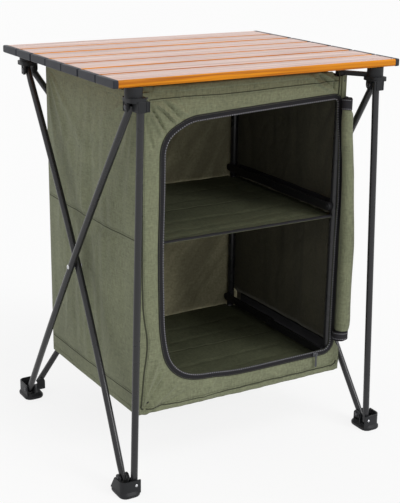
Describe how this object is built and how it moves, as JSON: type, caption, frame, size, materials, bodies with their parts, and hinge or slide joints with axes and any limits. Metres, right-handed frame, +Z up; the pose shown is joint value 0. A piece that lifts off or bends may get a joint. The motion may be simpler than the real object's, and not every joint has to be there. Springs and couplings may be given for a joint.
{
  "type": "folding camping cupboard",
  "caption": "Folding camp kitchen cupboard: crossed-tube frame, roll-up slatted top and a hung fabric cabinet with a shelf and a zipped door.",
  "frame": {"origin": "middle of the footprint, on the ground", "axes": "+X right as seen from the front, +Y to the back, +Z up; the front opening faces -Y"},
  "size_m": [0.6, 0.528, 0.76],
  "materials": {
    "black_tube": "powder-coated black, semi-gloss",
    "black_plastic": "moulded black, fine grain",
    "rivet": "bright",
    "slat": "printed wood-grain coat",
    "side_bar": "black coat",
    "webbing": "black woven tape",
    "zip_metal": "grey metal",
    "olive_cloth": "olive polyester weave",
    "inner_cloth": "olive polyester weave"
  },
  "bodies": {
    "left_floor_bar_front": {"bar_left_floor_front": "side_bar", "floor_front": "inner_cloth"},
    "left_floor_bar_rear": {"bar_left_floor_rear": "side_bar", "floor_rear": "inner_cloth"},
    "left_shelf_bar_front": {"bar_left_shelf_front": "side_bar", "shelf_front": "inner_cloth"},
    "left_shelf_bar_rear": {"bar_left_shelf_rear": "side_bar", "shelf_rear": "inner_cloth"},
    "right_floor_bar_front": {"bar_right_floor_front": "side_bar"},
    "right_floor_bar_rear": {"bar_right_floor_rear": "side_bar"},
    "right_shelf_bar_front": {"bar_right_shelf_front": "side_bar"},
    "right_shelf_bar_rear": {"bar_right_shelf_rear": "side_bar"},
    "back_inner_brace": {"brace_back_inner": "black_tube"},
    "back_outer_brace": {"brace_back_outer": "black_tube", "rivet_cross_back": "rivet"},
    "left_inner_brace": {"brace_left_inner": "black_tube"},
    "left_outer_brace": {"brace_left_outer": "black_tube", "rivet_cross_left": "rivet"},
    "right_inner_brace": {"brace_right_inner": "black_tube"},
    "right_outer_brace": {"brace_right_outer": "black_tube", "rivet_cross_right": "rivet"},
    "rear_left_hub": {"ceiling": "inner_cloth", "hub_rear_left": "black_plastic", "post_rear_left": "black_tube", "wall_back": "olive_cloth", "wall_left": "olive_cloth"},
    "front_left_hub": {"corner_tab_left": "black_plastic", "front_panel": "olive_cloth", "hub_front_left": "black_plastic", "post_front_left": "black_tube", "zip_tape": "webbing"},
    "front_right_hub": {"corner_tab_right": "black_plastic", "door_roll": "olive_cloth", "door_tie_bottom": "webbing", "door_tie_top": "webbing", "hub_front_right": "black_plastic", "post_front_right": "black_tube"},
    "front_left_foot": {"foot_front_left": "black_plastic", "rivet_leg_left": "rivet"},
    "front_right_foot": {"foot_front_right": "black_plastic", "rivet_leg_right": "rivet"},
    "rear_left_foot": {"foot_rear_left": "black_plastic"},
    "rear_right_foot": {"foot_rear_right": "black_plastic"},
    "rear_right_hub": {"hub_rear_right": "black_plastic", "post_rear_right": "black_tube", "wall_right": "olive_cloth"},
    "front_left_leg": {"leg_front_left": "black_tube"},
    "front_right_leg": {"leg_front_right": "black_tube"},
    "slat_1": {"table_slat_1": "slat"},
    "slat_2": {"table_slat_2": "slat"},
    "slat_3": {"table_slat_3": "slat"},
    "slat_4": {"table_slat_4": "slat"},
    "slat_5": {"table_slat_5": "slat"},
    "slat_6": {"table_slat_6": "slat"},
    "slat_7": {"table_slat_7": "slat"},
    "zip_pull": {"zip_pull": "zip_metal"},
    "zip_slider": {"zip_slider": "zip_metal"}
  },
  "joints": [
    {"name": "frame_fold", "type": "hinge", "parent": "rear_left_hub", "child": "left_inner_brace", "pos_m": [-0.2575, 0.222, 0.711], "axis": [0.9996, 0, -0.029], "range_deg": [0, 24.09], "deforming": ["wall_left", "wall_right", "wall_back", "ceiling", "front_panel", "zip_tape", "shelf_front", "shelf_rear", "floor_front", "floor_rear"]},
    {"name": "left_cross", "type": "hinge", "parent": "left_inner_brace", "child": "left_outer_brace", "pos_m": [-0.2675, 0, 0.3665], "axis": [0.9996, 0, -0.029], "range_deg": [-48.19, 0]},
    {"name": "front_left_hub_pivot", "type": "hinge", "parent": "left_outer_brace", "child": "front_left_hub", "pos_m": [-0.2575, -0.222, 0.711], "axis": [0.9996, 0, -0.029], "range_deg": [0, 24.1]},
    {"name": "front_left_foot_pivot", "type": "hinge", "parent": "left_inner_brace", "child": "front_left_foot", "pos_m": [-0.2775, -0.222, 0.022], "axis": [0.9996, 0, -0.029], "range_deg": [-24.1, 0]},
    {"name": "rear_left_foot_pivot", "type": "hinge", "parent": "left_outer_brace", "child": "rear_left_foot", "pos_m": [-0.2775, 0.222, 0.022], "axis": [0.9996, 0, -0.029], "range_deg": [0, 24.1]},
    {"name": "back_brace_pivot", "type": "hinge", "parent": "rear_left_hub", "child": "back_outer_brace", "pos_m": [-0.2425, 0.2395, 0.711], "axis": [0, 0.9998, 0.0181], "range_deg": [0, 19.21]},
    {"name": "back_cross", "type": "hinge", "parent": "back_outer_brace", "child": "back_inner_brace", "pos_m": [0, 0.24575, 0.3665], "axis": [0, 0.9998, 0.0181], "range_deg": [-38.41, 0]},
    {"name": "rear_right_hub_pivot", "type": "hinge", "parent": "back_inner_brace", "child": "rear_right_hub", "pos_m": [0.2425, 0.2395, 0.711], "axis": [0, 0.9998, 0.0181], "range_deg": [0, 19.21]},
    {"name": "right_brace_pivot", "type": "hinge", "parent": "rear_right_hub", "child": "right_inner_brace", "pos_m": [0.2575, 0.222, 0.711], "axis": [0.9996, 0, 0.029], "range_deg": [0, 24.1]},
    {"name": "right_cross", "type": "hinge", "parent": "right_inner_brace", "child": "right_outer_brace", "pos_m": [0.2675, 0, 0.3665], "axis": [0.9996, 0, 0.029], "range_deg": [-48.19, 0]},
    {"name": "front_right_hub_pivot", "type": "hinge", "parent": "right_outer_brace", "child": "front_right_hub", "pos_m": [0.2575, -0.222, 0.711], "axis": [0.9996, 0, 0.029], "range_deg": [0, 24.1]},
    {"name": "front_right_foot_pivot", "type": "hinge", "parent": "right_inner_brace", "child": "front_right_foot", "pos_m": [0.2775, -0.222, 0.022], "axis": [0.9996, 0, 0.029], "range_deg": [-24.1, 0]},
    {"name": "rear_right_foot_pivot", "type": "hinge", "parent": "right_outer_brace", "child": "rear_right_foot", "pos_m": [0.2775, 0.222, 0.022], "axis": [0.9996, 0, 0.029], "range_deg": [0, 24.1]},
    {"name": "left_shelf_bar_rear_fold", "type": "hinge", "parent": "rear_left_hub", "child": "left_shelf_bar_rear", "pos_m": [-0.2057, 0.195, 0.468], "axis": [-1, 0, 0], "range_deg": [0, 82.25]},
    {"name": "left_shelf_bar_front_fold", "type": "hinge", "parent": "front_left_hub", "child": "left_shelf_bar_front", "pos_m": [-0.2004, -0.175, 0.468], "axis": [1, 0, 0], "range_deg": [0, 82.25]},
    {"name": "left_floor_bar_rear_fold", "type": "hinge", "parent": "rear_left_hub", "child": "left_floor_bar_rear", "pos_m": [-0.2057, 0.195, 0.16], "axis": [-1, 0, 0], "range_deg": [0, 82.25]},
    {"name": "left_floor_bar_front_fold", "type": "hinge", "parent": "front_left_hub", "child": "left_floor_bar_front", "pos_m": [-0.2004, -0.175, 0.16], "axis": [1, 0, 0], "range_deg": [0, 82.25]},
    {"name": "right_shelf_bar_rear_fold", "type": "hinge", "parent": "rear_right_hub", "child": "right_shelf_bar_rear", "pos_m": [0.2057, 0.195, 0.468], "axis": [-1, 0, 0], "range_deg": [0, 82.25]},
    {"name": "right_shelf_bar_front_fold", "type": "hinge", "parent": "front_right_hub", "child": "right_shelf_bar_front", "pos_m": [0.2004, -0.175, 0.468], "axis": [1, 0, 0], "range_deg": [0, 82.25]},
    {"name": "right_floor_bar_rear_fold", "type": "hinge", "parent": "rear_right_hub", "child": "right_floor_bar_rear", "pos_m": [0.2057, 0.195, 0.16], "axis": [-1, 0, 0], "range_deg": [0, 82.25]},
    {"name": "right_floor_bar_front_fold", "type": "hinge", "parent": "front_right_hub", "child": "right_floor_bar_front", "pos_m": [0.2004, -0.175, 0.16], "axis": [1, 0, 0], "range_deg": [0, 82.25]},
    {"name": "front_left_leg_swing", "type": "hinge", "parent": "front_left_foot", "child": "front_left_leg", "pos_m": [-0.269, -0.2505, 0.022], "axis": [0, 1, 0], "range_deg": [0, 8]},
    {"name": "front_right_leg_swing", "type": "hinge", "parent": "front_right_foot", "child": "front_right_leg", "pos_m": [0.269, -0.2505, 0.022], "axis": [0, -1, 0], "range_deg": [0, 8]},
    {"name": "table_lift", "type": "slide", "parent": "rear_left_hub", "child": "slat_1", "axis": [0, 0, 1], "range_m": [0, 0.12]},
    {"name": "table_roll", "type": "hinge", "parent": "slat_1", "child": "slat_2", "pos_m": [0, 0.17518, 0.76], "axis": [-1, 0, 0], "range_deg": [0, 45]},
    {"name": "slat_3_fold", "type": "hinge", "parent": "slat_2", "child": "slat_3", "pos_m": [0, 0.10511, 0.76], "axis": [-1, 0, 0], "range_deg": [0, 45]},
    {"name": "slat_4_fold", "type": "hinge", "parent": "slat_3", "child": "slat_4", "pos_m": [0, 0.03504, 0.76], "axis": [-1, 0, 0], "range_deg": [0, 45]},
    {"name": "slat_5_fold", "type": "hinge", "parent": "slat_4", "child": "slat_5", "pos_m": [0, -0.03504, 0.76], "axis": [-1, 0, 0], "range_deg": [0, 45]},
    {"name": "slat_6_fold", "type": "hinge", "parent": "slat_5", "child": "slat_6", "pos_m": [0, -0.10511, 0.76], "axis": [-1, 0, 0], "range_deg": [0, 45]},
    {"name": "slat_7_fold", "type": "hinge", "parent": "slat_6", "child": "slat_7", "pos_m": [0, -0.17518, 0.76], "axis": [-1, 0, 0], "range_deg": [0, 45]},
    {"name": "zip_run", "type": "slide", "parent": "front_right_hub", "child": "zip_slider", "axis": [-1, 0, 0], "range_m": [0, 0.16]},
    {"name": "zip_pull_swing", "type": "hinge", "parent": "zip_slider", "child": "zip_pull", "pos_m": [0.178, -0.1917, 0.1615], "axis": [-1, 0, 0], "range_deg": [0, 150]}
  ],
  "couplings": [
    {"joint": "left_cross", "follows": "frame_fold", "ratio": -2},
    {"joint": "front_left_hub_pivot", "follows": "frame_fold", "ratio": 1},
    {"joint": "front_left_foot_pivot", "follows": "frame_fold", "ratio": -1},
    {"joint": "rear_left_foot_pivot", "follows": "frame_fold", "ratio": 1},
    {"joint": "back_brace_pivot", "follows": "frame_fold", "ratio": 0.797},
    {"joint": "back_cross", "follows": "frame_fold", "ratio": -1.594},
    {"joint": "rear_right_hub_pivot", "follows": "frame_fold", "ratio": 0.797},
    {"joint": "right_brace_pivot", "follows": "frame_fold", "ratio": 1},
    {"joint": "right_cross", "follows": "frame_fold", "ratio": -2},
    {"joint": "front_right_hub_pivot", "follows": "frame_fold", "ratio": 1},
    {"joint": "front_right_foot_pivot", "follows": "frame_fold", "ratio": -1},
    {"joint": "rear_right_foot_pivot", "follows": "frame_fold", "ratio": 1},
    {"joint": "left_shelf_bar_rear_fold", "follows": "frame_fold", "ratio": 3.4136},
    {"joint": "left_shelf_bar_front_fold", "follows": "frame_fold", "ratio": 3.4136},
    {"joint": "left_floor_bar_rear_fold", "follows": "frame_fold", "ratio": 3.4136},
    {"joint": "left_floor_bar_front_fold", "follows": "frame_fold", "ratio": 3.4136},
    {"joint": "right_shelf_bar_rear_fold", "follows": "frame_fold", "ratio": 3.4136},
    {"joint": "right_shelf_bar_front_fold", "follows": "frame_fold", "ratio": 3.4136},
    {"joint": "right_floor_bar_rear_fold", "follows": "frame_fold", "ratio": 3.4136},
    {"joint": "right_floor_bar_front_fold", "follows": "frame_fold", "ratio": 3.4136},
    {"joint": "slat_3_fold", "follows": "table_roll", "ratio": 1},
    {"joint": "slat_4_fold", "follows": "table_roll", "ratio": 1},
    {"joint": "slat_5_fold", "follows": "table_roll", "ratio": 1},
    {"joint": "slat_6_fold", "follows": "table_roll", "ratio": 1},
    {"joint": "slat_7_fold", "follows": "table_roll", "ratio": 1}
  ]
}
